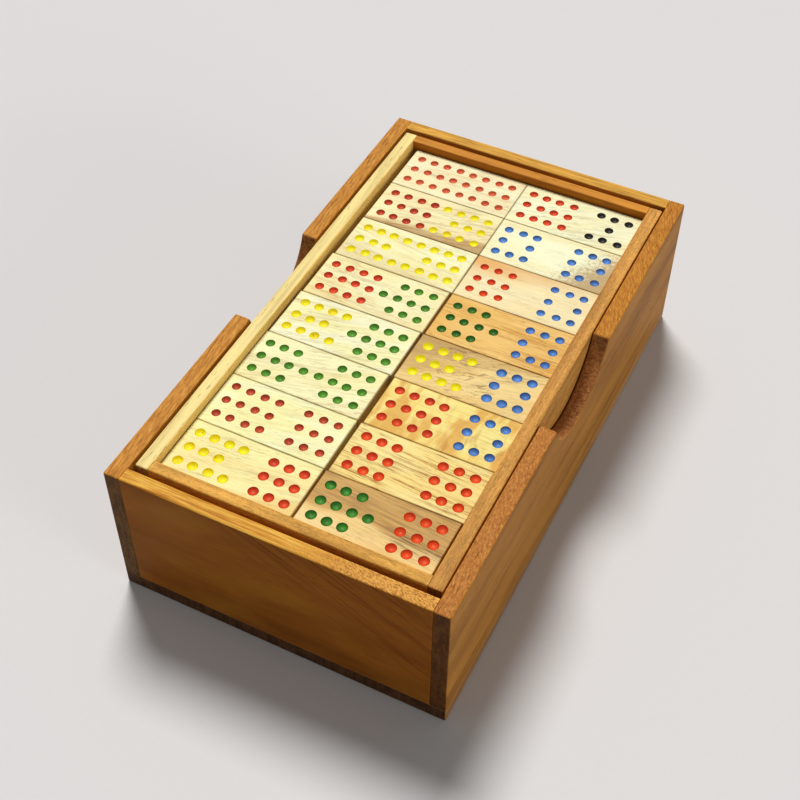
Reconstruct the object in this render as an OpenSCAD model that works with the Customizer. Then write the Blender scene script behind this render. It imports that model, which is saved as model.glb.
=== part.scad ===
/* [Tiles] */
// Length of a tile, across the box
tile_l = 48; // [40:0.5:60]
// Width of a tile, along the box
tile_w = 23; // [20:0.5:30]
// Thickness of a tile
tile_t = 7.5; // [6:0.5:10]
// Free space between one tile and the next along the box
row_gap = 0.2; // [0.15:0.05:0.6]
// Free space across the box in a row of two tiles
row_play = 2.4; // [2:0.1:4]

/* [Dimples] */
// Diameter of a dimple at the face of the tile
dimple_d = 3.3; // [2:0.1:3.6]
// Depth of a dimple
dimple_deep = 0.9; // [0.5:0.1:1.5]
// From the end of the tile to its first column of dimples
first_column = 4.4; // [3:0.1:5]
// From one column of dimples to the next
column_pitch = 5.6; // [4.4:0.1:5.8]
// From one line of dimples to the next across the tile
line_pitch = 6.6; // [5:0.1:7]

/* [Tray] */
// Thickness of the two long walls
tray_side_t = 5; // [4:0.1:7]
// Thickness of the two end walls
tray_end_t = 4.4; // [4:0.1:7]
// Thickness of the floor
tray_floor_t = 4.8; // [3:0.1:7]
// From the top of the tiles up to the rim
rim_above_tiles = 3.2; // [1:0.1:6]
// Free space along the box at the end of the rows
row_end_play = 0.6; // [0.4:0.1:2]

/* [Cover] */
// Thickness of the two long sides
cover_side_t = 6; // [5:0.1:8]
// Thickness of the two ends
cover_end_t = 5.3; // [4.5:0.1:8]
// Thickness of the board under the sides and ends
cover_board_t = 6; // [4:0.1:8]
// Free space across the box between tray and cover, both sides together
tray_gap_across = 1.6; // [1.2:0.1:4]
// Free space along the box between tray and cover, both ends together
tray_gap_along = 4.4; // [1.2:0.1:6]

/* [Finger notches] */
// Radius of the notch in the rim of each long side
notch_r = 25; // [18:1:40]
// Depth of the notch below the rim
notch_deep = 17.6; // [12:0.1:18]

/* [Hidden] */
$fn = 48;
// A cut runs past the face it opens by this much
past = 1;
layers = 6;
rows = 8;
columns = 2;
layer_tiles = rows * columns;
highest = 12;

// The tray lies nearer the right side of the cover: this share of the gap is on its left
gap_share_left = 0.72;
// How far the left and the right tile of each row of the top layer have slid in from the tray's walls,
// as a share of the row's play, from the far row to the near one
slid_in_left = [0.92, 0.9, 0.84, 0.54, 0.34, 0.05, 0.06, 0.08];
slid_in_right = [0.04, 0.05, 0.04, 0.06, 0.24, 0.08, 0.3, 0.56];
// In the layers below, the tiles of the left and the right column stand this share of the row's play off
// their wall, so that a tile of the second layer can rise past the top tile of the other column
slid_in_below = [0.3, 0.04];

row_pitch = tile_w + row_gap;
tray_in_w = columns * tile_l + row_play;
tray_in_l = rows * row_pitch + row_end_play;
tray_w = tray_in_w + 2 * tray_side_t;
tray_l = tray_in_l + 2 * tray_end_t;
tray_h = tray_floor_t + layers * tile_t + rim_above_tiles;
cover_in_w = tray_w + tray_gap_across;
cover_in_l = tray_l + tray_gap_along;
cover_w = cover_in_w + 2 * cover_side_t;
cover_l = cover_in_l + 2 * cover_end_t;
cover_h = cover_board_t + tray_h;

tray_left = -cover_in_w / 2 + gap_share_left * tray_gap_across;
tray_in_left = tray_left + tray_side_t;
tray_in_right = tray_in_left + tray_in_w;
tray_in_far = tray_in_l / 2;
tiles_z = cover_board_t + tray_floor_t;

// A dimple is a cap of a ball that reaches dimple_d across the face and dimple_deep into it
ball_r = (dimple_d * dimple_d / 4 + dimple_deep * dimple_deep) / (2 * dimple_deep);

// The dimples of half a tile for each number: three lines, each read from the tile's end inwards
HALVES = [
    ["    ", "    ", "    "],
    ["    ", " o  ", "    "],
    ["o   ", "    ", "  o "],
    ["o   ", " o  ", "  o "],
    ["o o ", "    ", "o o "],
    ["o o ", " o  ", "o o "],
    ["ooo ", "    ", "ooo "],
    ["ooo ", " o  ", "ooo "],
    ["ooo ", "o o ", "ooo "],
    ["ooo ", "ooo ", "ooo "],
    ["ooo ", "oooo", "ooo "],
    ["oooo", "ooo ", "oooo"],
    ["oooo", "oooo", "oooo"]
];
PAINTS = [
    "black", "black", "green", "firebrick", "royalblue", "green", "gold",
    "black", "royalblue", "firebrick", "green", "gold", "firebrick"
];

// The set holds every pair of numbers once. The top layer is read from the far row to the near one,
// first the left column and then the right one. The layers below hold the rest in falling order.
TOP = [
    [12, 12], [12, 11], [11, 11], [12, 10], [11, 10], [10, 10], [12, 9], [11, 9],
    [12, 7], [8, 8], [9, 8], [10, 8], [11, 8], [12, 8], [9, 9], [10, 9]
];
function on_top(pair) = len([for (t = TOP) if (t == pair) t]) > 0;
BELOW = [
    for (low = [highest : -1 : 0])
        for (high = [highest : -1 : low])
            if (!on_top([high, low])) [high, low]
];
function part_of(list, first, count) =
    [for (i = [first : min(first + count, len(list)) - 1]) list[i]];
// The layers below the top one, counted from the top down
function layer_pairs(n) = part_of(BELOW, (n - 1) * layer_tiles, layer_tiles);
function layer_z(n) = tiles_z + (layers - 1 - n) * tile_t;

function tile_name(pair) = str("tile_", pair[0], "_", pair[1]);
function row_y(row) = tray_in_far - row_end_play / 2 - (row + 0.5) * row_pitch;
function column_x(column, slid_in) =
    column == 0
        ? tray_in_left + slid_in * row_play + tile_l / 2
        : tray_in_right - slid_in * row_play - tile_l / 2;

TRAY_NODES = ["tray_floor", "tray_side_left", "tray_side_right", "tray_end_near", "tray_end_far"];
COVER_NODES = [
    "cover_board", "cover_side_left", "cover_side_right", "cover_end_near", "cover_end_far"
];
LAYER_NODES = ["third_layer", "fourth_layer", "fifth_layer", "bottom_layer"];

// A board given by its lowest corner and its size
module board(corner, size) {
    translate(corner) cube(size);
}

module cover_board() {
    color("saddlebrown")
        board([-cover_w / 2, -cover_l / 2, 0], [cover_w, cover_l, cover_board_t]);
}

// A long side of the cover, with its outer face at x and its notch at mid-length
module cover_side(x) {
    color("peru")
        difference() {
            board([x, -cover_l / 2, cover_board_t], [cover_side_t, cover_l, tray_h]);
            translate([x - past, 0, cover_h - notch_deep + notch_r])
                rotate([0, 90, 0])
                    cylinder(r = notch_r, h = cover_side_t + 2 * past, $fn = 96);
        }
}

// An end of the cover, with its lowest y given
module cover_end(y) {
    color("peru")
        board([-cover_in_w / 2, y, cover_board_t], [cover_in_w, cover_end_t, tray_h]);
}

module tray_floor() {
    color("burlywood")
        board([tray_left, -tray_l / 2, cover_board_t], [tray_w, tray_l, tray_floor_t]);
}

// A long wall of the tray, with its lowest x given
module tray_side(x, colour) {
    color(colour)
        board([x, -tray_l / 2, tiles_z], [tray_side_t, tray_l, tray_h - tray_floor_t]);
}

// An end wall of the tray, with its lowest y given
module tray_end(y) {
    color("tan")
        board([tray_in_left, y, tiles_z], [tray_in_w, tray_end_t, tray_h - tray_floor_t]);
}

// The balls that cut the dimples of one half, from the tile's end at x = 0 inwards
module half_balls(number) {
    for (line = [0 : 2])
        for (column = [0 : 3])
            if (HALVES[number][line][column] == "o")
                translate([
                    first_column + column * column_pitch,
                    (1 - line) * line_pitch,
                    tile_t + ball_r - dimple_deep
                ])
                    sphere(r = ball_r);
}

// A tile with the centre of its underside at [x, y, z]: its first number is on the left
module tile(pair, x, y, z) {
    translate([x, y, z])
        difference() {
            color("wheat")
                translate([-tile_l / 2, -tile_w / 2, 0])
                    cube([tile_l, tile_w, tile_t]);
            color(PAINTS[pair[0]])
                translate([-tile_l / 2, 0, 0])
                    half_balls(pair[0]);
            color(PAINTS[pair[1]])
                translate([tile_l / 2, 0, 0])
                    rotate([0, 0, 180])
                        half_balls(pair[1]);
        }
}

// A tile of the top layer, by its place in TOP
module top_tile(place) {
    row = place % rows;
    column = floor(place / rows);
    slid_in = column == 0 ? slid_in_left[row] : slid_in_right[row];
    tile(TOP[place], column_x(column, slid_in), row_y(row), layer_z(0));
}

// A tile of a full layer below the top one, by its place in that layer
module lower_tile(n, place) {
    column = floor(place / rows);
    tile(
        layer_pairs(n)[place],
        column_x(column, slid_in_below[column]),
        row_y(place % rows),
        layer_z(n)
    );
}

module full_layer(n) {
    for (place = [0 : layer_tiles - 1])
        lower_tile(n, place);
}

// The tiles that are left over lie in two columns, spread along the whole tray
module bottom_layer(n) {
    pairs = layer_pairs(n);
    left_count = ceil(len(pairs) / 2);
    for (place = [0 : len(pairs) - 1]) {
        column = place < left_count ? 0 : 1;
        count = column == 0 ? left_count : len(pairs) - left_count;
        row = place - column * left_count;
        spread = (row_y(0) - row_y(rows - 1)) / (count - 1);
        tile(pairs[place], column_x(column, slid_in_below[column]), row_y(0) - row * spread, layer_z(n));
    }
}

cover_board();
cover_side(-cover_w / 2);  // cover_side_left
cover_side(cover_w / 2 - cover_side_t);  // cover_side_right
cover_end(-cover_l / 2);  // cover_end_near
cover_end(cover_l / 2 - cover_end_t);  // cover_end_far
tray_floor();
tray_side(tray_left, "moccasin");  // tray_side_left
tray_side(tray_in_right, "tan");  // tray_side_right
tray_end(-tray_l / 2);  // tray_end_near
tray_end(tray_l / 2 - tray_end_t);  // tray_end_far
full_layer(2);  // third_layer
full_layer(3);  // fourth_layer
full_layer(4);  // fifth_layer
bottom_layer(5);
for (place = [0 : layer_tiles - 1]) {
    lower_tile(1, place);
    top_tile(place);
}
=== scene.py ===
"""Domino storage box: a tray of numbered wooden tiles that stands in its cover, on a pale studio floor."""
import math
import random

import bpy
from mathutils import Euler, Matrix, Vector


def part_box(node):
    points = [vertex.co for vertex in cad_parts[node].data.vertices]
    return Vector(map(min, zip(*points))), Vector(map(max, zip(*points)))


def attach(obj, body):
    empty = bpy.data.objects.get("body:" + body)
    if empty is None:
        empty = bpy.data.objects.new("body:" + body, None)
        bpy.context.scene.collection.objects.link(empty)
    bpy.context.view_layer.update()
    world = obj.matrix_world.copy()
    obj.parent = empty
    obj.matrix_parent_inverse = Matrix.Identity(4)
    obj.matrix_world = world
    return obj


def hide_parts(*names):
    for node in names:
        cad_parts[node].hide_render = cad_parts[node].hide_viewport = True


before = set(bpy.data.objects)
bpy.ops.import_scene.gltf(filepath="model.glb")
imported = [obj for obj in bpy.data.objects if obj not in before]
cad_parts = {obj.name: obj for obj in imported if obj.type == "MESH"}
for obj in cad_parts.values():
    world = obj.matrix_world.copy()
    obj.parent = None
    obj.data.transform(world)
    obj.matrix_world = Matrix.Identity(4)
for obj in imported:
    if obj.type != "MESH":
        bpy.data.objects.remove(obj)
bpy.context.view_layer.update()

MM = 0.001

# The same sizes and counts as in the part's source, with the lengths in millimetres
TILE_L, TILE_W, TILE_T = 48.0, 23.0, 7.5
DIMPLE_D, DIMPLE_DEEP = 3.3, 0.9
BALL_R = (DIMPLE_D ** 2 / 4 + DIMPLE_DEEP ** 2) / (2 * DIMPLE_DEEP)
FIRST_COLUMN, COLUMN_PITCH, LINE_PITCH = 4.4, 5.6, 6.6
NOTCH_R, NOTCH_DEEP = 25.0, 17.6
ROWS, COLUMNS = 8, 2
LAYER = ROWS * COLUMNS
HIGHEST = 12

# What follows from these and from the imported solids, in millimetres
TILE_HALVES = (TILE_L / 2, TILE_W / 2, TILE_T / 2)
TILES_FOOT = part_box("bottom_layer")[0].z / MM
HALF_SIDE = (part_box("cover_side_right")[1].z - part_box("cover_side_right")[0].z) / MM / 2

# What only the finished pieces have, in millimetres
ARRIS, SEAM = 0.6, 0.1  # how far the boards' outer edges and the edges of their glued joints are eased
TILE_ARRIS = 0.3  # how far the edges of a tile are eased
LIP_WIDE, LIP_DEEP = 0.14, 0.06  # the lip of paint round a dimple
HAND = 0.18  # how far a dimple may be off its place, because the tiles are drilled by hand

# Segments and rings of the balls that cut the dimples of the top layer and of the layers below
FINE_BALL, PLAIN_BALL = (20, 9), (14, 6)
# The width of the dimples of the top tiles that differ, as a share of the usual one
DIMPLE_SPREAD = {
    (12, 12): 0.95, (11, 11): 1.06, (11, 10): 1.05, (12, 9): 0.94, (11, 9): 1.09, (9, 8): 0.94,
    (11, 8): 1.1, (12, 8): 1.06, (9, 9): 1.11, (10, 9): 1.12,
}

# The dimples of half a tile for each number: three lines, each read from the tile's end inwards
HALVES = [
    ("    ", "    ", "    "),
    ("    ", " o  ", "    "),
    ("o   ", "    ", "  o "),
    ("o   ", " o  ", "  o "),
    ("o o ", "    ", "o o "),
    ("o o ", " o  ", "o o "),
    ("ooo ", "    ", "ooo "),
    ("ooo ", " o  ", "ooo "),
    ("ooo ", "o o ", "ooo "),
    ("ooo ", "ooo ", "ooo "),
    ("ooo ", "oooo", "ooo "),
    ("oooo", "ooo ", "oooo"),
    ("oooo", "oooo", "oooo"),
]

# The top layer, from the far row to the near one, first the left column and then the right one
TOP = [
    (12, 12), (12, 11), (11, 11), (12, 10), (11, 10), (10, 10), (12, 9), (11, 9),
    (12, 7), (8, 8), (9, 8), (10, 8), (11, 8), (12, 8), (9, 9), (10, 9),
]
BELOW = [
    (high, low)
    for low in range(HIGHEST, -1, -1)
    for high in range(HIGHEST, low - 1, -1)
    if (high, low) not in TOP
]


# ---- Small tools of the workshop ----


def deselect():
    bpy.ops.object.select_all(action="DESELECT")


def take(*pieces):
    """Selects these pieces alone, the first one active."""
    deselect()
    for piece in pieces:
        piece.select_set(True)
    bpy.context.view_layer.objects.active = pieces[0]


def named(piece, name):
    """Gives a piece and its mesh this name."""
    piece.name = name
    piece.data.name = name
    return piece


def settle(name):
    """Names the piece that was just made and puts its place into its mesh."""
    bpy.ops.object.transform_apply(location=True, rotation=True, scale=True)
    return named(bpy.context.object, name)


def blank(name, low, high):
    """A block of wood between two corners, in metres."""
    deselect()
    bpy.ops.mesh.primitive_cube_add(size=1, location=(low + high) / 2, scale=high - low)
    return settle(name)


def copy_to(pattern, name, place):
    """A copy of a pattern with a mesh of its own, moved by place."""
    piece = named(bpy.data.objects.new(name, pattern.data.copy()), name)
    piece.data.transform(Matrix.Translation(place))
    bpy.context.scene.collection.objects.link(piece)
    return piece


def join(name, pieces):
    take(*pieces)
    if len(pieces) > 1:
        bpy.ops.object.join()
    return named(bpy.context.object, name)


def throw_away(piece):
    mesh = piece.data
    bpy.data.objects.remove(piece)
    bpy.data.meshes.remove(mesh)


def apply_modifier(piece, kind, **settings):
    take(piece)
    modifier = piece.modifiers.new(kind.lower(), kind)
    for key, value in settings.items():
        setattr(modifier, key, value)
    bpy.ops.object.modifier_apply(modifier=modifier.name)


def cut(piece, cutter):
    """Takes the cutter's shape out of the piece. The cut faces keep the cutter's finish."""
    apply_modifier(
        piece, "BOOLEAN", operation="DIFFERENCE", solver="EXACT", object=cutter, material_mode="TRANSFER"
    )
    throw_away(cutter)


def finish_faces(piece, material, test):
    """Gives a second finish to the faces that pass the test."""
    piece.data.materials.append(material)
    slot = len(piece.data.materials) - 1
    for face in piece.data.polygons:
        if test(face):
            face.material_index = slot


def put_in_place(piece, node, body):
    """Hides the node's imported part, which the piece stands in for, and hangs the piece on the body that
    carries it.
    """
    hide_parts(node)
    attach(piece, body)


# ---- Finishes ----


def colour(red, green, blue):
    """A colour as a screen shows it, 0 to 255, in the linear form that sockets take."""
    def linear(part):
        part /= 255
        return part / 12.92 if part <= 0.04045 else ((part + 0.055) / 1.055) ** 2.4

    return (linear(red), linear(green), linear(blue), 1.0)


class Wire:
    """One output of a finish's nodes. Sums and products of it add Math nodes."""

    def __init__(self, finish, socket):
        self.finish = finish
        self.socket = socket

    def __add__(self, other):
        return self.finish.maths("ADD", self, other)

    def __sub__(self, other):
        return self.finish.maths("SUBTRACT", self, other)

    def __rsub__(self, other):
        return self.finish.maths("SUBTRACT", other, self)

    def __mul__(self, other):
        return self.finish.maths("MULTIPLY", self, other)

    __radd__ = __add__
    __rmul__ = __mul__


class Finish:
    """A material, built up from nodes. Its lengths are in millimetres."""

    def __init__(self, name, kind="materials"):
        """Kind is worlds for what surrounds the object."""
        self.material = getattr(bpy.data, kind).new(name)
        self.material.use_nodes = True
        tree = self.material.node_tree
        self.nodes, self.links = tree.nodes, tree.links
        self.shader = self.nodes.get("Principled BSDF")

    def feed(self, node, sockets):
        """Gives the sockets of a node their values and wires."""
        for key, value in sockets.items():
            if isinstance(value, Wire):
                self.links.new(value.socket, node.inputs[key])
            else:
                node.inputs[key].default_value = value

    def node(self, kind, settings=None, sockets=None, output=0):
        """Adds a node: its settings come first, then the values and wires of its sockets."""
        node = self.nodes.new(kind)
        for key, value in (settings or {}).items():
            if key == "stops":
                elements = node.color_ramp.elements
                while len(elements) < len(value):
                    elements.new(0.5)
                for element, (position, tone) in zip(elements, value):
                    element.position = position
                    element.color = tone
            else:
                setattr(node, key, value)
        self.feed(node, sockets or {})
        return Wire(self, node.outputs[output])

    def maths(self, operation, *values):
        return self.node("ShaderNodeMath", {"operation": operation}, dict(enumerate(values)))

    def stand_at(self, centre):
        """Places the pattern on a piece: u, v and w are millimetres from its centre."""
        around = self.node("ShaderNodeTexCoord", output="Object")
        self.place = self.node(
            "ShaderNodeMapping",
            {},
            {"Vector": around, "Location": -Vector(centre) / MM, "Scale": (1 / MM,) * 3},
        )
        self.u, self.v, self.w = (
            self.node("ShaderNodeSeparateXYZ", {}, {0: self.place}, axis) for axis in range(3)
        )

    def turned(self, vector, angles, shift=(0, 0, 0)):
        """The pattern's directions turned by angles in degrees, and moved along."""
        return self.node(
            "ShaderNodeMapping",
            {},
            {"Vector": vector, "Rotation": [math.radians(angle) for angle in angles], "Location": shift},
        )

    def vectors(self, operation, first, second):
        return self.node("ShaderNodeVectorMath", {"operation": operation}, {0: first, 1: second})

    def drawn(self, vector, sizes):
        """The pattern drawn out to these sizes along its three directions."""
        return self.vectors("DIVIDE", vector, sizes)

    def noise(self, vector, sizes, detail=2.0, roughness=0.5, output=0):
        return self.node(
            "ShaderNodeTexNoise",
            {},
            {"Vector": self.drawn(vector, sizes), "Scale": 1.0, "Detail": detail, "Roughness": roughness},
            output,
        )

    def cells(self, vector, sizes):
        return self.node("ShaderNodeTexVoronoi", {}, {"Vector": self.drawn(vector, sizes), "Scale": 1.0})

    def fade(self, value, start, end):
        """0 at start, 1 at end, smooth between them."""
        return self.node(
            "ShaderNodeMapRange", {"interpolation_type": "SMOOTHSTEP"}, {0: value, 1: start, 2: end}
        )

    def band(self, value, low, high, soft):
        """1 between low and high, fading out over soft on either side."""
        return self.fade(value, low - soft, low + soft) * (1 - self.fade(value, high - soft, high + soft))

    def near_edge(self, halves, width):
        """1 along the edges of a block of these half sizes, fading out over width."""
        first, second, third = (
            half - self.maths("ABSOLUTE", axis) for half, axis in zip(halves, (self.u, self.v, self.w))
        )
        smaller, larger = self.maths("MINIMUM", first, second), self.maths("MAXIMUM", first, second)
        to_edge = self.maths("MAXIMUM", smaller, self.maths("MINIMUM", larger, third))
        return 1 - self.fade(to_edge, 0, width)

    def ramp(self, value, stops):
        return self.node("ShaderNodeValToRGB", {"stops": stops}, {0: value})

    def blend(self, share, first, second):
        """The first colour where share is 0, the second where it is 1."""
        return self.node("ShaderNodeMix", {"data_type": "RGBA"}, {0: share, 6: first, 7: second}, 2)

    def scaled(self, tone, factor):
        """A colour made lighter or darker by a factor that may vary."""
        if not isinstance(tone, Wire):
            tone = tone[:3]
        return self.node("ShaderNodeVectorMath", {"operation": "SCALE"}, {0: tone, "Scale": factor})

    def wander(self, vector, sizes, amount):
        """The grain's directions, led a little astray across the grain."""
        drift = self.noise(vector, sizes, 1.0, output="Color")
        drift = self.vectors("SUBTRACT", drift, (0.5, 0.5, 0.5))
        drift = self.vectors("MULTIPLY", drift, (0, 2 * amount, 2 * amount))
        return self.vectors("ADD", vector, drift)

    def done(self, tone, roughness, height, relief, gloss):
        """Wires up the shader: relief is the depth in millimetres between height 0 and 1."""
        bump = self.node("ShaderNodeBump", {}, {"Strength": 1.0, "Distance": relief * MM, "Height": height})
        self.feed(self.shader, {
            "Base Color": tone, "Roughness": roughness, "Specular IOR Level": gloss, "Normal": bump,
        })
        return self.material


def shades(red, green, blue, dark=0.6, light=1.3):
    """The stops of a streaky wood: a darker and redder streak, the wood itself, and a lighter streak."""
    main = colour(red, green, blue)

    def shade(factor, shift):
        """Shift is what green has more of than red, and blue than green."""
        return tuple(min(part * factor * shift ** k, 1.0) for k, part in enumerate(main[:3])) + (1.0,)

    return [(0.34, shade(dark, 0.93)), (0.5, main), (0.66, shade(light, 1.03))]


def board_wood(
    name, centre, halves, along, tones, *, tilt=0.0, shift=(0, 0, 0), wide=7.0, fibres=0.2, pores=0.5,
    pore_size=(9.0, 0.75), extra=None,
):
    """Wood with long streaks, its upper edges paler here and there: wear, with a painted highlight on the
    arrises.

    Along is the grain's direction, tilt its slope in degrees, wide the width of a streak, and tones are
    the stops from the darkest streak to the lightest. Fibres and pores say how strongly those show.
    """
    finish = Finish(name)
    finish.stand_at(centre)
    lay = finish.turned(finish.place, (0, 0, 90) if along == "y" else (0, 0, 0), shift)
    lay = finish.turned(lay, (0, tilt, 0))
    lay = finish.wander(lay, (90, 24, 24), 2.5)
    tone = finish.ramp(finish.noise(lay, (120, wide, wide), 4.0, 0.6), tones)
    fibre = finish.noise(lay, (24, 0.9, 0.9), 5.0, 0.7)
    pore_long, pore_wide = pore_size
    clusters = finish.fade(finish.noise(lay, (30, 5, 5), 1.0), 0.38, 0.6)
    pore = (1 - finish.fade(finish.cells(lay, (pore_long, pore_wide, pore_wide)), 0.08, 0.3)) * clusters
    tone = finish.scaled(tone, fibre * (4 * fibres) + (1 - 2 * fibres))
    if extra:
        tone = extra(finish, tone, lay)
    tone = finish.scaled(tone, 1 - pore * pores)
    at_rim = finish.fade(finish.w, halves.z - 2.5, halves.z - 0.8)
    in_patches = finish.fade(finish.noise(lay, (7, 3, 3), 2.0), 0.38, 0.6)
    # Paler along the upper edges, in patches: wear, with a painted highlight on the arrises
    wear_and_painted_highlight = finish.near_edge(halves, 0.8) * in_patches * at_rim
    tone = finish.scaled(tone, wear_and_painted_highlight * 0.25 + 1)
    roughness = fibre * 0.15 + pore * 0.2 - wear_and_painted_highlight * 0.1 + 0.48
    return finish.done(tone, roughness, fibre * 0.5 - pore, relief=0.05, gloss=0.1)


def end_grain(name, centre, dark, light, cloud=(5, 5, 7)):
    """Sawn across the grain: dark, with growth lines and dots where the pores are cut."""
    finish = Finish(name)
    finish.stand_at(centre)
    clouds = finish.noise(finish.place, cloud, 4.0, 0.7)
    lines = finish.noise(finish.place, (1.1, 1.1, 12), 4.0, 0.6)
    dots = 1 - finish.fade(finish.cells(finish.place, (0.75, 0.75, 0.75)), 0.15, 0.45)
    share = finish.fade(clouds * 0.6 + lines * 0.4, 0.36, 0.64)
    tone = finish.scaled(finish.blend(share, colour(*dark), colour(*light)), 1 - dots * 0.4)
    return finish.done(tone, 0.6, lines * 0.5 - dots, relief=0.04, gloss=0.1)


SIDE_SHADE_TONE = colour(172, 112, 44)  # the painted shade on the sides of a tile, in the gaps between tiles
EDGE_DARK_TONE = colour(128, 84, 36)


def tile_wood(
    name, centre, ground, second, lines, *, share=0.5, tilt=0.0, shift=(0, 0, 0), pitch=1.0, dashes=0.5,
    stains=(),
):
    """Sanded pale wood: two ground tones in soft clouds, fine darker lines along the grain, the tile's own
    stains, painted shade on its sides, and a darker tone along its edges.

    Share and dashes say how strongly the long and the short lines show, and pitch how far apart they are.
    """
    finish = Finish(name)
    finish.stand_at(centre)
    lay = finish.turned(finish.place, (0, 0, -tilt), shift)
    lay = finish.wander(lay, (40, 16, 16), 1.2)
    clouds = finish.fade(finish.noise(lay, (34, 8, 8), 2.0), 0.38, 0.62)
    tone = finish.blend(clouds, ground, second)
    where = finish.fade(finish.noise(lay, (24, 6, 6), 1.0), 0.34, 0.58) * 0.8 + 0.2
    streak = finish.fade(finish.noise(lay, (34, 1.7 * pitch, 1.7 * pitch), 5.0, 0.65), 0.5, 0.62)
    hatch = finish.fade(finish.noise(lay, (9, 0.62 * pitch, 0.62 * pitch), 4.0, 0.65), 0.5, 0.6)
    line = (streak * 0.55 + hatch * 0.6) * where
    tone = finish.blend(line * share, tone, lines)
    for stain in stains:
        tone = stain(finish, tone, lay, line)
    dash = (1 - finish.fade(finish.cells(lay, (5.0, 0.6, 0.6)), 0.08, 0.26)) * where
    tone = finish.blend(dash * dashes, tone, finish.scaled(lines, 0.7))
    fibre = finish.noise(lay, (9, 0.45, 0.45), 4.0, 0.75)
    tone = finish.scaled(tone, fibre * 0.5 + 0.76)
    # Painted shade: the sides of the tile are darker below its top, where the gaps between tiles are
    side = 1 - finish.fade(finish.w, TILE_T / 2 - 1.0, TILE_T / 2 - 0.35)
    tone = finish.blend(side * 0.5, tone, SIDE_SHADE_TONE)
    # Darker along the tile's edges, in patches
    patchy = finish.fade(finish.noise(finish.place, (7, 7, 7), 2.0), 0.3, 0.6) * 0.7 + 0.3
    tone = finish.blend(finish.near_edge(TILE_HALVES, 0.55) * patchy * 0.6, tone, EDGE_DARK_TONE)
    return finish.done(tone, fibre * 0.12 + 0.5, fibre * 0.5 - dash, relief=0.03, gloss=0.15)


def stored_wood():
    """The wood of the tiles below the top layer.

    Each tile carries its own lay of the grain and its own tone.
    """
    finish = Finish("stored_tile_wood")
    finish.stand_at((0, 0, 0))
    own_lay = finish.node("ShaderNodeAttribute", {"attribute_name": "lay"}, output="Vector")
    own_tone = finish.node("ShaderNodeAttribute", {"attribute_name": "tone"}, output="Fac")
    lay = finish.wander(finish.vectors("ADD", finish.place, own_lay), (40, 16, 16), 1.5)
    tone = finish.ramp(own_tone, [
        (0.0, colour(251, 243, 188)), (0.45, colour(250, 234, 172)), (0.7, colour(249, 222, 150)),
        (0.86, colour(240, 194, 116)), (1.0, colour(214, 170, 106)),
    ])
    clouds = finish.fade(finish.noise(lay, (34, 8, 8), 2.0), 0.36, 0.64)
    tone = finish.scaled(tone, clouds * 0.12 + 0.9)
    where = finish.fade(finish.noise(lay, (22, 6, 6), 1.0), 0.34, 0.62)
    line = finish.fade(finish.noise(lay, (26, 1, 1), 3.0, 0.55), 0.5, 0.7) * where
    tone = finish.blend(line * 0.45, tone, colour(150, 116, 78))
    dash = (1 - finish.fade(finish.cells(lay, (7, 0.62, 0.62)), 0.08, 0.27)) * where
    tone = finish.blend(dash * 0.5, tone, colour(140, 106, 70))
    # The height above the underside of the tile, from a little above it on
    level = finish.maths("MODULO", finish.w - (TILES_FOOT + 0.2), TILE_T)
    # Painted shade: the sides of the tile are darker below its top
    side = 1 - finish.fade(level, TILE_T - 1.2, TILE_T - 0.55)
    tone = finish.blend(side * 0.35, tone, SIDE_SHADE_TONE)
    fibre = finish.noise(lay, (14, 0.4, 0.4), 4.0, 0.7)
    return finish.done(tone, fibre * 0.12 + 0.5, fibre * 0.5 - dash, relief=0.03, gloss=0.15)


def dimple_paint(name, tone, thick_and_shaded, spots):
    """Brushed-on paint in a dimple: uneven, with painted shade up the wall, and specks where it has dried
    thick.
    """
    finish = Finish(name)
    finish.stand_at((0, 0, 0))
    # The height above the face of the tile, which is negative in its dimples
    level = finish.maths("MODULO", finish.w - (TILES_FOOT - TILE_T / 2), TILE_T) - TILE_T / 2
    # Painted shade: the paint is darker up the dimple's wall
    wall = finish.fade(level, -0.6, -0.02)
    patches = finish.fade(finish.noise(finish.place, (3.2, 3.2, 2.0), 2.0), 0.35, 0.68)
    paint = finish.blend(patches * 0.4, tone, thick_and_shaded)
    specks = 1 - finish.fade(finish.cells(finish.place, (1.5, 1.5, 1.2)), 0.12, 0.3)
    chosen = finish.fade(finish.noise(finish.place, (4.5, 4.5, 4.5), 1.0), 0.5, 0.62)
    paint = finish.blend(specks * chosen * spots, paint, finish.scaled(thick_and_shaded, 0.6))
    paint = finish.blend(wall * 0.7, paint, finish.scaled(thick_and_shaded, 0.8))
    ripple = finish.noise(finish.place, (0.7, 0.7, 0.7), 2.0)
    return finish.done(paint, ripple * 0.16 + 0.4, ripple, relief=0.05, gloss=0.27)


# ---- Boards ----


def top_edge(finish):
    """1 on the rim of an upright board, 0 on its faces."""
    return finish.fade(finish.w, HALF_SIDE - 0.45, HALF_SIDE - 0.2)


def flecks(finish, tilt, long, tones):
    """Short slanting flecks, as where the grain runs out of a sawn edge."""
    slant = finish.turned(finish.place, (0, 0, tilt))
    coarse = finish.noise(slant, (long, 0.7, 3.0), 4.0, 0.65)
    fine = finish.noise(slant, (long / 3, 0.4, 2.0), 4.0, 0.7)
    return finish.ramp(coarse * 0.65 + fine * 0.35, tones)


def rim_right(finish, tone, lay):
    """Orange-brown with slanting flecks on the far half, rough and redder on the near half."""
    far = flecks(finish, 68, 3.6, [
        (0.36, colour(160, 94, 26)), (0.5, colour(190, 122, 38)), (0.66, colour(222, 162, 66)),
    ])
    near = flecks(finish, 78, 1.6, [
        (0.32, colour(142, 82, 32)), (0.5, colour(184, 116, 46)), (0.68, colour(218, 158, 80)),
    ])
    rim = finish.blend(finish.fade(finish.v, -6, 6), near, far)
    return finish.blend(top_edge(finish), tone, rim)


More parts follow.
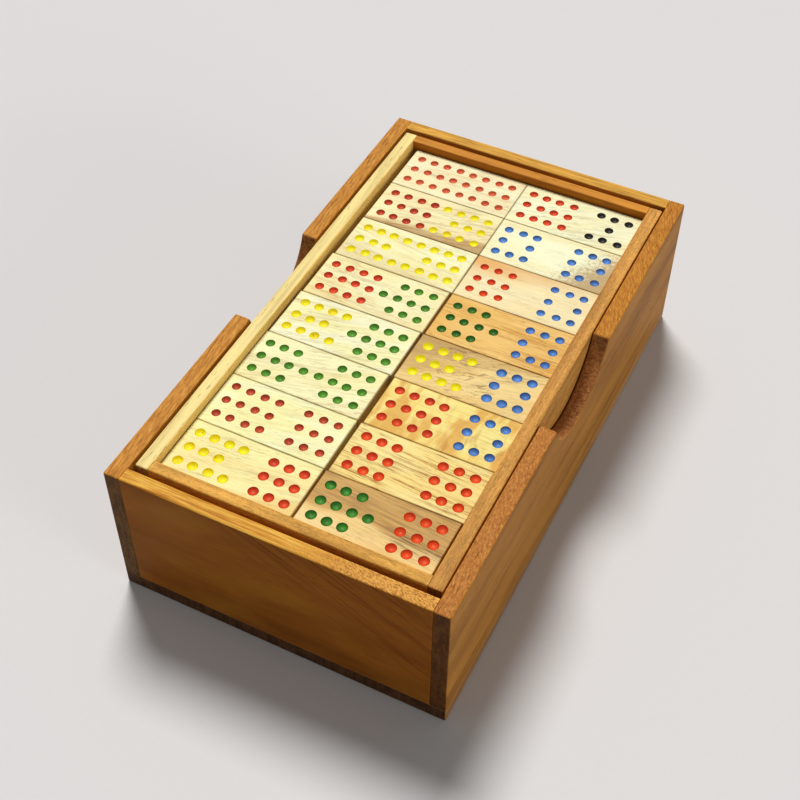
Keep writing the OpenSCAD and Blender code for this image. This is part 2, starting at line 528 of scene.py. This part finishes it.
def rim_left(finish, tone, lay):
    rim = flecks(finish, 86, 6.0, [
        (0.33, colour(148, 90, 28)), (0.5, colour(199, 132, 48)), (0.67, colour(230, 172, 82)),
    ])
    return finish.blend(top_edge(finish), tone, rim)


def rim_far(finish, tone, lay):
    golden = finish.ramp(finish.noise(lay, (18, 0.8, 0.8), 5.0, 0.65), shades(218, 162, 66, 0.6, 1.3))
    return finish.blend(top_edge(finish), tone, golden)


def rim_near(finish, tone, lay):
    """Golden and streaky on the left, speckled on the right."""
    streaky = finish.ramp(finish.noise(lay, (26, 1.0, 1.0), 5.0, 0.65), [
        (0.36, colour(178, 112, 30)), (0.5, colour(218, 154, 50)), (0.62, colour(244, 196, 88)),
    ])
    slant = finish.turned(finish.place, (0, 0, 24))
    speckle = 1 - finish.fade(finish.noise(slant, (1.1, 0.46, 3.0), 3.0, 0.6), 0.4, 0.58)
    uneven = finish.noise(finish.place, (3, 3, 3), 3.0, 0.7) * 0.8 + 0.35
    speckled = finish.blend(speckle * uneven, colour(234, 172, 78), colour(156, 90, 26))
    right = finish.fade(finish.u + finish.noise(finish.place, (12, 12, 12)) * 20, 12, 44)
    return finish.blend(top_edge(finish), tone, finish.blend(right, streaky, speckled))


def veins_and_rim_near(finish, tone, lay):
    """The near end: thin reddish veins that slope down to the right, amber to the left of them."""
    slope = finish.turned(finish.place, (0, -29, 0))
    slope = finish.wander(slope, (50, 14, 14), 2.5)
    broad = finish.fade(finish.noise(slope, (80, 9, 3.4), 3.0, 0.6), 0.47, 0.66)
    thin = finish.fade(finish.noise(slope, (34, 9, 1.1), 3.0, 0.6), 0.53, 0.65)
    zone = finish.fade(finish.w + finish.u * 0.55 + finish.noise(slope, (40, 20, 8)) * 16, 12, 30)
    tone = finish.blend((broad * 0.4 + thin * 0.5) * (zone * 0.9 + 0.1), tone, colour(124, 52, 14))
    amber = finish.fade(finish.noise(finish.place, (38, 9, 14), 2.0), 0.42, 0.66)
    tone = finish.blend(amber * (1 - zone) * 0.4, tone, colour(224, 150, 50))
    return rim_near(finish, tone, lay)


def coarse_pores(finish, tone, lay):
    """Coarse darker pores all over, as in open-grained wood."""
    grit = finish.fade(finish.noise(lay, (1.6, 0.34, 0.34), 4.0, 0.75), 0.36, 0.62)
    mottle = finish.noise(lay, (9, 2.2, 2.2), 4.0, 0.6)
    return finish.scaled(tone, 0.44 + grit * 0.44 + mottle * 0.6)


def painted_shade_inside(inside, finish, tone, factors):
    """Paints shade onto the inner face of a tray wall: each part of the colour darkened by its own factor.
    """
    return finish.blend(inside, tone, finish.vectors("MULTIPLY", tone, factors))


def shaded_far(finish, tone, lay):
    # Painted shade on the inner face of the far end of the tray
    return painted_shade_inside(1 - finish.fade(finish.v, -2.1, -1.7), finish, tone, (0.66, 0.55, 0.4))


def shaded_left(finish, tone, lay):
    # Painted shade on the inner face of the left side of the tray
    return painted_shade_inside(finish.fade(finish.u, 1.9, 2.3), finish, tone, (0.82, 0.68, 0.48))


BOARDS = {
    # node: body, slot, grain, faces hidden in a joint, tones, other settings
    "cover_board": (
        "cover", "cover_board_wood", "y", "+z", shades(182, 132, 78, 0.65, 1.2), dict(shift=(310, 40, 7)),
    ),
    "cover_side_left": (
        "cover", "cover_side_wood", "y", "-z", shades(178, 119, 48, 0.65, 1.25),
        dict(shift=(900, 60, 21), wide=10.0, extra=rim_left),
    ),
    "cover_side_right": (
        "cover", "cover_side_wood", "y", "-z", shades(183, 125, 54, 0.65, 1.25),
        dict(shift=(120, 33, 66), tilt=3.0, wide=12.0, extra=rim_right),
    ),
    "cover_end_near": (
        "cover", "cover_end_wood", "x", "-z+x-x", shades(184, 110, 34, 0.75, 1.2),
        dict(shift=(40, 500, 12), wide=16.0, pores=0.2, fibres=0.1, extra=veins_and_rim_near),
    ),
    "cover_end_far": (
        "cover", "cover_end_wood", "x", "-z+x-x", shades(190, 126, 50, 0.7, 1.3),
        dict(shift=(640, 52, 3), wide=10.0, extra=rim_far),
    ),
    "tray_floor": (
        "tray", "tray_floor_wood", "y", "+z", shades(196, 150, 92), dict(shift=(70, 81, 19)),
    ),
    "tray_side_left": (
        "tray", "tray_cream_wood", "y", "-z", shades(251, 229, 154, 0.72, 1.04),
        dict(
            shift=(420, 14, 88), wide=5.0, fibres=0.14, pores=0.55, pore_size=(6.0, 0.7), extra=shaded_left,
        ),
    ),
    "tray_side_right": (
        "tray", "tray_tan_wood", "y", "-z", shades(206, 148, 72, 0.7, 1.25),
        dict(shift=(510, 64, 5), extra=coarse_pores),
    ),
    "tray_end_near": (
        "tray", "tray_tan_wood", "x", "-z+x-x", shades(202, 148, 65, 0.6, 1.35),
        dict(shift=(33, 7, 41), tilt=3.0, extra=coarse_pores),
    ),
    "tray_end_far": (
        "tray", "tray_orange_wood", "x", "-z+x-x", shades(208, 138, 48, 0.65, 1.2),
        dict(shift=(230, 71, 90), extra=shaded_far),
    ),
}
# The darkest and the lightest tone of the end grain that shows on the long boards, and in the notches
END_GRAIN = {
    "cover_board": ((72, 46, 29), (118, 79, 48)),
    "cover_side_left": ((104, 70, 38), (154, 112, 66)),
    "cover_side_right": ((98, 58, 28), (142, 92, 50)),
    "tray_floor": ((120, 84, 46), (168, 124, 72)),
    "tray_side_left": ((176, 136, 72), (214, 176, 104)),
    "tray_side_right": ((120, 84, 42), (166, 122, 66)),
}
NOTCH_GRAIN = ((140, 86, 44), (196, 134, 78))


def ease_edges(board, hidden):
    """Rounds the open edges of a board, and just breaks the ones that lie in a glued joint."""
    mesh = board.data
    sides = {}
    for face in mesh.polygons:
        axis = max(range(3), key=lambda k: abs(face.normal[k]))
        side = ("-" if face.normal[axis] < 0 else "+") + "xyz"[axis]
        in_joint = abs(face.normal[axis]) > 0.99 and side in hidden
        for key in face.edge_keys:
            sides.setdefault(key, []).append((face.normal.copy(), in_joint))
    weights = mesh.attributes.new("bevel_weight_edge", "FLOAT", "EDGE")
    for edge in mesh.edges:
        (first, first_in_joint), (second, second_in_joint) = sides[edge.key]
        if first.dot(second) > 0.8:
            weight = 0.0
        else:
            weight = SEAM / ARRIS if first_in_joint or second_in_joint else 1.0
        weights.data[edge.index].value = weight
    apply_modifier(board, "BEVEL", limit_method="WEIGHT", width=ARRIS * MM, segments=3)


def in_notch(face, rim_z):
    """True for the curved face of a finger notch."""
    y, z = face.center.y, face.center.z
    in_reach = abs(y) < NOTCH_R * MM and rim_z - (NOTCH_DEEP + 0.1) * MM < z < rim_z - 0.4 * MM
    return in_reach and abs(face.normal.x) < 0.5


def make_board(node):
    """The finished board of a node, in its place in the frame."""
    body, slot, grain, hidden, tones, settings = BOARDS[node]
    low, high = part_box(node)
    centre = (low + high) / 2
    name = node.replace("cover", "cover_panel").replace("tray", "tray_panel")
    board = blank(name, low, high)
    wood = board_wood(name + "_wood", centre, (high - low) / 2 / MM, grain, tones, **settings)
    board.data.materials.append(wood)
    notched = node.startswith("cover_side")
    if notched:
        deselect()
        bpy.ops.mesh.primitive_cylinder_add(
            vertices=96,
            radius=NOTCH_R * MM,
            depth=3 * (high.x - low.x),
            location=(centre.x, 0, high.z + (NOTCH_R - NOTCH_DEEP) * MM),
            rotation=(0, math.pi / 2, 0),
        )
        cut(board, settle("notch_cutter"))
    ease_edges(board, hidden)
    if node in END_GRAIN:
        ends = end_grain(name + "_ends", centre, *END_GRAIN[node])
        finish_faces(board, ends, lambda face: abs(face.normal.y) > 0.9)
    if notched:
        sawn = end_grain(name + "_notch", centre, *NOTCH_GRAIN, cloud=(2.4, 0.8, 0.8))
        finish_faces(board, sawn, lambda face: in_notch(face, high.z))
    put_in_place(board, node, body)


for node in BOARDS:
    make_board(node)


# ---- Tiles ----

PAINT_TONES = {
    # paint: tone where it is thin, darker tone for its thick patches, its specks and the painted shade up
    # its wall, share of dried specks
    "black": ((32, 27, 18), (20, 15, 6), 0.0),
    "green": ((94, 162, 40), (32, 80, 2), 0.0),
    "bright_green": ((62, 142, 34), (2, 44, 0), 0.0),
    "dark_green": ((54, 122, 16), (3, 46, 0), 0.0),
    "red": ((234, 76, 28), (168, 20, 1), 0.0),
    "coral": ((234, 110, 66), (184, 60, 22), 0.0),
    "crimson": ((214, 74, 32), (144, 18, 3), 0.0),
    "dark_crimson": ((210, 84, 48), (118, 8, 0), 0.0),
    "orange_red": ((240, 80, 18), (180, 20, 0), 0.0),
    "blue": ((90, 148, 226), (32, 44, 92), 0.0),
    "yellow": ((253, 246, 16), (247, 214, 0), 0.4),
    "spotted_yellow": ((253, 245, 14), (241, 200, 0), 0.9),
}
PAINTS = {
    name: dimple_paint(name + "_paint", colour(*tone), colour(*thick_and_shaded), spots)
    for name, (tone, thick_and_shaded, spots) in PAINT_TONES.items()
}
USUAL_PAINT = (
    "black", "black", "green", "red", "blue", "green", "yellow", "black", "blue", "red", "green",
    "yellow", "red",
)


def stain(*tone):
    """Makes a stain of a tile: the wood takes this tone where the function below it says, from 0 to 1."""
    def made(where):
        return lambda finish, base, lay, line: finish.blend(where(finish, lay, line), base, colour(*tone))

    return made


@stain(172, 124, 58)
def brown_near_edge(f, lay, line):
    return f.fade(f.v * -1 + f.u * 0.1 + f.noise(lay, (18, 3, 3)) * 4, 8.8, 11.4) * (line * 0.3 + 0.7)


@stain(216, 184, 120)
def tan_near_left(f, lay, line):
    return f.fade(f.u * -0.3 - f.v + f.noise(lay, (20, 3, 3)) * 10, 6, 18) * 0.4


@stain(216, 172, 92)
def tan_lines_near(f, lay, line):
    return f.fade(f.v * -1 + f.noise(lay, (26, 2, 2)) * 6, 5, 14) * (line * 0.6 + 0.15)


@stain(222, 178, 104)
def tan_near_right(f, lay, line):
    return f.fade(f.u * 0.5 - f.v + f.noise(lay, (14, 3, 3)) * 8, 17, 28) * (line * 0.5 + 0.2)


@stain(238, 196, 112)
def amber_near_right(f, lay, line):
    return f.fade(f.u * 0.22 - f.v + f.noise(lay, (16, 3, 3)) * 8, 11, 18) * 0.6


@stain(186, 150, 96)
def speckled_corner(f, lay, line):
    speckle = f.noise(f.place, (1.3, 1.3, 1.3), 3.0, 0.7)
    return f.fade(f.u * 0.6 - f.v * 0.45 + speckle * 18, 14, 22) * 0.8


@stain(236, 178, 100)
def orange_far_left(f, lay, line):
    return f.fade(f.v - f.u * 0.2 + f.noise(lay, (20, 5, 5)) * 8, 6, 18) * 0.9


@stain(174, 132, 66)
def grey_far_left(f, lay, line):
    return f.fade(f.v * 0.9 - f.u * 0.35 + f.noise(lay, (16, 5, 5)) * 16, 6, 24) * 0.75


@stain(118, 82, 48)
def dark_wriggles(f, lay, line):
    wriggle = f.noise(f.wander(lay, (7, 5, 5), 2.5), (7, 1.1, 1.1), 3.0, 0.65)
    return f.fade(wriggle, 0.52, 0.64) * f.band(f.u, -14, 9, 7) * 0.6


def across(f):
    """Directions for bands that run across the tile."""
    return f.wander(f.turned(f.place, (0, 0, 94)), (12, 9, 9), 2.5)


@stain(226, 168, 72)
def amber_bands(f, lay, line):
    return f.fade(f.noise(across(f), (17, 5.0, 5.0), 2.0), 0.44, 0.64) * 0.8


@stain(190, 118, 36)
def dark_amber_bands(f, lay, line):
    bands = f.fade(f.noise(across(f), (12, 3.4, 3.4), 3.0), 0.52, 0.68)
    return bands * f.fade(f.u * 0.6 - f.v, -6, 14) * 0.5


@stain(198, 151, 78)
def brown_far_half(f, lay, line):
    border = f.v + f.u * 0.11 + f.fade(f.u, -6, -18) * 4 + f.noise(lay, (24, 4, 4)) * 7
    return f.fade(border, 0.0, 3.8) * (line * 0.2 + 0.8)


@stain(150, 112, 70)
def brown_streaks(f, lay, line):
    far_half = f.fade(f.v + f.u * 0.11 + f.noise(lay, (24, 4, 4)) * 7, 0.0, 3.8)
    return far_half * f.fade(f.noise(lay, (18, 1.0, 1.0), 3.0, 0.6), 0.46, 0.62) * 0.55


@stain(92, 68, 46)
def dark_border(f, lay, line):
    border = f.band(f.v + f.u * 0.1 + f.noise(lay, (20, 2, 2), 3.0) * 6, 0.4, 4.2, 1.2)
    streaks = f.fade(f.noise(lay, (14, 0.7, 0.7), 3.0, 0.6), 0.44, 0.6)
    return border * streaks * f.fade(f.u, -12, 14) * 0.75


GREY_LINE, BROWN_LINE = (164, 134, 88), (176, 130, 66)
LOOKS = {
    # pair: paints, ground, second tone, tone of the lines, other settings of its wood
    (12, 12): ("coral coral", (251, 238, 188), (252, 247, 204), (184, 146, 104),
               dict(share=0.4, tilt=3, dashes=0.4)),
    (12, 11): ("crimson yellow", (251, 235, 180), (252, 245, 190), (156, 120, 70),
               dict(share=0.5, tilt=12, dashes=0.5, stains=[brown_near_edge])),
    (11, 11): ("yellow yellow", (251, 243, 182), (252, 251, 204), (176, 142, 88),
               dict(share=0.5, tilt=-7, dashes=0.4, stains=[tan_near_left])),
    (12, 10): ("red green", (252, 248, 198), (251, 241, 180), BROWN_LINE,
               dict(share=0.42, tilt=-3, stains=[tan_lines_near])),
    (11, 10): ("spotted_yellow green", (251, 247, 186), (252, 252, 212), GREY_LINE,
               dict(share=0.4, tilt=12, dashes=0.4)),
    (10, 10): ("green green", (251, 249, 196), (250, 243, 180), BROWN_LINE,
               dict(share=0.45, tilt=14, dashes=0.45, stains=[tan_near_right])),
    (12, 9): ("dark_crimson dark_crimson", (250, 252, 202), (250, 246, 178), BROWN_LINE,
              dict(share=0.22, tilt=10, dashes=0.3)),
    (11, 9): ("spotted_yellow red", (251, 244, 174), (251, 235, 162), BROWN_LINE,
              dict(share=0.36, tilt=6, dashes=0.35, stains=[amber_near_right])),
    (12, 7): ("red black", (252, 248, 198), (252, 252, 212), GREY_LINE,
              dict(share=0.4, tilt=14, dashes=0.5)),
    (8, 8): ("blue blue", (252, 253, 214), (252, 244, 192), GREY_LINE,
             dict(share=0.15, dashes=0.25, stains=[speckled_corner])),
    (9, 8): ("orange_red blue", (252, 233, 178), (251, 239, 192), GREY_LINE,
             dict(share=0.2, dashes=0.35, stains=[orange_far_left])),
    (10, 8): ("dark_green blue", (238, 190, 100), (244, 202, 120), (186, 120, 44),
              dict(share=0.7, tilt=1, dashes=0.6)),
    (11, 8): ("yellow blue", (238, 204, 128), (248, 220, 150), (152, 108, 58),
              dict(share=0.5, tilt=14, dashes=0.5, stains=[grey_far_left, dark_wriggles])),
    (12, 8): ("red blue", (252, 229, 134), (252, 237, 148), (196, 140, 56),
              dict(share=0.3, dashes=0.3, stains=[amber_bands, dark_amber_bands])),
    (9, 9): ("orange_red orange_red", (251, 223, 136), (252, 233, 154), (178, 122, 50),
             dict(share=1.0, tilt=-3, dashes=0.6, pitch=0.8)),
    (10, 9): ("bright_green orange_red", (244, 210, 138), (248, 220, 154), BROWN_LINE,
              dict(share=0.35, tilt=-5, dashes=0.4, stains=[brown_far_half, brown_streaks, dark_border])),
}


def make_tile_blank():
    """A tile without dimples, standing on the origin, with eased edges."""
    half = Vector((TILE_L, TILE_W, 0)) * MM / 2
    tile = blank("tile_blank", -half, half + Vector((0, 0, TILE_T * MM)))
    bpy.ops.object.mode_set(mode="EDIT")
    bpy.ops.mesh.select_all(action="SELECT")
    bpy.ops.mesh.bevel(offset=TILE_ARRIS * MM, segments=2, affect="EDGES")
    bpy.ops.object.mode_set(mode="OBJECT")
    return tile


def make_ball(segments, rings, spread=1.0):
    """The cutter of a dimple: the cap of a ball, flared at the face of the tile where the paint's lip is.

    Spread is its width as a share of the usual one.
    """
    deselect()
    bpy.ops.mesh.primitive_uv_sphere_add(segments=segments, ring_count=rings, radius=BALL_R * MM)
    ball = settle("dimple_ball")
    lip_z = (DIMPLE_DEEP - BALL_R - LIP_DEEP) * MM
    above_face = 0.5
    bpy.ops.object.mode_set(mode="EDIT")
    bpy.ops.mesh.select_all(action="SELECT")
    bpy.ops.mesh.bisect(plane_co=(0, 0, lip_z), plane_no=(0, 0, 1), clear_outer=True)
    for widen, rise in ((1 + LIP_WIDE * 2 / DIMPLE_D, LIP_DEEP), (1.0, above_face)):
        bpy.ops.mesh.extrude_edges_move(TRANSFORM_OT_translate={"value": (0, 0, rise * MM)})
        bpy.ops.transform.resize(value=(widen, widen, 1))
    bpy.ops.mesh.edge_face_add()
    bpy.ops.mesh.select_all(action="SELECT")
    bpy.ops.transform.resize(value=(spread, spread, 1))
    bpy.ops.object.mode_set(mode="OBJECT")
    bpy.ops.object.shade_smooth()
    return ball


def hand_of(pair, first_seed=0):
    """The random draws of one tile, the same in every run."""
    return random.Random(first_seed + pair[0] * 20 + pair[1])


def marks_of(number):
    """The line and the column of each dimple of half a tile."""
    for line, marks in enumerate(HALVES[number]):
        for column, mark in enumerate(marks):
            if mark == "o":
                yield line, column


def make_tile(name, pair, place, wood, paints, ball, hand):
    """A tile with the centre of its underside at place, in metres: its first number is on the left."""
    tile = copy_to(tile_blank, name, place)
    tile.data.materials.append(wood)
    balls = []
    for number, paint, sense in zip(pair, paints, (-1, 1)):
        for line, column in marks_of(number):
            x = sense * (TILE_L / 2 - FIRST_COLUMN - column * COLUMN_PITCH) + hand.uniform(-HAND, HAND)
            y = -sense * (1 - line) * LINE_PITCH + hand.uniform(-HAND, HAND)
            spot = Vector((x, y, TILE_T + BALL_R - DIMPLE_DEEP)) * MM
            dimple = copy_to(ball, "dimple", place + spot)
            dimple.data.materials.append(PAINTS[paint])
            balls.append(dimple)
    if balls:
        cut(tile, join("dimples", balls))
    return tile


def own_grain(tile, hand):
    """Gives a tile of the shared wood its own lay of the grain and its own tone."""
    count = len(tile.data.vertices)
    lay = [hand.uniform(-400, 400) for _ in range(3)]
    for name, kind, field, values in (
        ("lay", "FLOAT_VECTOR", "vector", lay), ("tone", "FLOAT", "value", [hand.random()]),
    ):
        tile.data.attributes.new(name, kind, "POINT").data.foreach_set(field, values * count)


def foot(node):
    """The centre of the underside of a tile's node."""
    low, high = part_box(node)
    return Vector(((low.x + high.x) / 2, (low.y + high.y) / 2, low.z))


def number_of(pair):
    return f"{pair[0]}_{pair[1]}"


def top_tile(pair):
    """A tile of the top layer, with a wood of its own."""
    number = number_of(pair)
    paints, ground, second, lines, settings = LOOKS[pair]
    place = foot("tile_" + number)
    centre = place + Vector((0, 0, TILE_T / 2)) * MM
    hand = hand_of(pair)
    shift = [hand.uniform(-300, 300) for _ in range(3)]
    wood = tile_wood(
        "wood_" + number, centre, colour(*ground), colour(*second), colour(*lines), shift=shift, **settings
    )
    ball = make_ball(*FINE_BALL, DIMPLE_SPREAD.get(pair, 1.0))
    tile = make_tile("domino_" + number, pair, place, wood, paints.split(), ball, hand)
    throw_away(ball)
    return tile


def stored_tile(name, pair, place):
    """A tile of the layers below, of the shared wood."""
    hand = hand_of(pair, 1000)
    paints = [USUAL_PAINT[number] for number in pair]
    tile = make_tile(name, pair, place, shared_wood, paints, plain_ball, hand)
    own_grain(tile, hand)
    return tile


def stored_layer(node, pairs):
    """A layer of tiles in two columns, spread along the whole of the node's box."""
    low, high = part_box(node)
    near_y, far_y = low.y + TILE_W * MM / 2, high.y - TILE_W * MM / 2
    left_x, right_x = low.x + TILE_L * MM / 2, high.x - TILE_L * MM / 2
    left_count = math.ceil(len(pairs) / COLUMNS)
    tiles = []
    for x, column in ((left_x, pairs[:left_count]), (right_x, pairs[left_count:])):
        for row, pair in enumerate(column):
            place = Vector((x, far_y + (near_y - far_y) * row / (len(column) - 1), low.z))
            tiles.append(stored_tile("stored_" + number_of(pair), pair, place))
    return join(node + "_tiles", tiles)


tile_blank = make_tile_blank()
plain_ball = make_ball(*PLAIN_BALL)
shared_wood = stored_wood()

for pair in TOP:
    node = "tile_" + number_of(pair)
    put_in_place(top_tile(pair), node, node)

for pair in BELOW[:LAYER]:
    number = number_of(pair)
    node = "tile_" + number
    put_in_place(stored_tile("domino_" + number, pair, foot(node)), node, node)

for layer, node in enumerate(("third_layer", "fourth_layer", "fifth_layer", "bottom_layer"), start=1):
    pairs = BELOW[layer * LAYER:(layer + 1) * LAYER]
    put_in_place(stored_layer(node, pairs), node, node)

for pattern in (tile_blank, plain_ball):
    throw_away(pattern)


# ---- Floor, light and camera ----

FLOOR_SIZE, FLOOR_Z = 8, -0.0002  # in metres: the floor lies just clear of the box's underside
FLOOR_TONE, BACKDROP_TONE = colour(222, 222, 224), colour(226, 225, 224)
GREY_PAPER = colour(130, 128, 124)


def seen(finish, mirrored=1.0):
    """1 for what the camera sees, and the given share for what it sees in a gloss or through something."""
    camera_ray, glossy_ray, transmission_ray = (
        finish.node("ShaderNodeLightPath", output=f"Is {name} Ray")
        for name in ("Camera", "Glossy", "Transmission")
    )
    return camera_ray + (glossy_ray + transmission_ray) * mirrored


def floor_finish():
    """A pale matt studio floor with a trace of paper grain.

    The paper looks pale, and throws back as little light onto the box as a grey one.
    """
    finish = Finish("floor_paper")
    finish.stand_at((0, 0, 0))
    grain = finish.noise(finish.place, (1.5, 1.5, 1.5), 2.0)
    finish.done(finish.scaled(FLOOR_TONE, grain * 0.03 + 0.985), 0.9, grain, relief=0.01, gloss=0.2)
    grey = finish.node("ShaderNodeBsdfDiffuse", {}, {"Color": GREY_PAPER})
    pale = Wire(finish, finish.shader.outputs[0])
    both = finish.node("ShaderNodeMixShader", {}, {0: seen(finish), 1: grey, 2: pale})
    finish.feed(finish.nodes["Material Output"], {"Surface": both})
    return finish.material


def studio_air():
    """A faint warm glow all round, and a pale backdrop that the camera alone sees in full."""
    studio = Finish("studio", "worlds")
    glow = studio.node("ShaderNodeBackground", {}, {"Color": (1.0, 0.98, 0.95, 1.0), "Strength": 0.16})
    backdrop = studio.node("ShaderNodeBackground", {}, {"Color": BACKDROP_TONE, "Strength": 1.0})
    both = studio.node("ShaderNodeMixShader", {}, {0: seen(studio, 0.3), 1: glow, 2: backdrop})
    studio.feed(studio.nodes["World Output"], {"Surface": both})
    return studio.material


def sun(name, place, energy, tone, soft):
    """Light that falls from the direction of place onto the box. Soft is its width in degrees."""
    data = bpy.data.lights.new(name, "SUN")
    data.energy, data.color, data.angle = energy, tone, math.radians(soft)
    obj = bpy.data.objects.new(name, data)
    obj.location = place
    obj.rotation_euler = (-obj.location).to_track_quat("-Z", "Y").to_euler()
    bpy.context.scene.collection.objects.link(obj)


deselect()
bpy.ops.mesh.primitive_plane_add(size=FLOOR_SIZE, location=(0, 0, FLOOR_Z))
floor = settle("studio_floor")
floor.data.materials.append(floor_finish())

sun("key_light", (-0.34, 0.5, 1.0), energy=2.9, tone=(1.0, 0.975, 0.94), soft=20)
sun("fill_light", (1.0, -0.14, 0.16), energy=1.15, tone=(1.0, 0.97, 0.92), soft=30)
bpy.context.scene.world = studio_air()

# The camera's place, turn and lens are fitted to the corners of the cover
camera_data = bpy.data.cameras.new("camera")
camera_data.lens = 62.55489
camera_data.sensor_width = 36
camera = bpy.data.objects.new("camera", camera_data)
camera.location = (0.14629738, -0.31367442, 0.40022531)
camera.rotation_euler = Euler([math.radians(angle) for angle in (42.34536503, -0.34209972, 26.55327349)])
bpy.context.scene.collection.objects.link(camera)
bpy.context.scene.camera = camera
bpy.context.scene.view_settings.view_transform = "Standard"
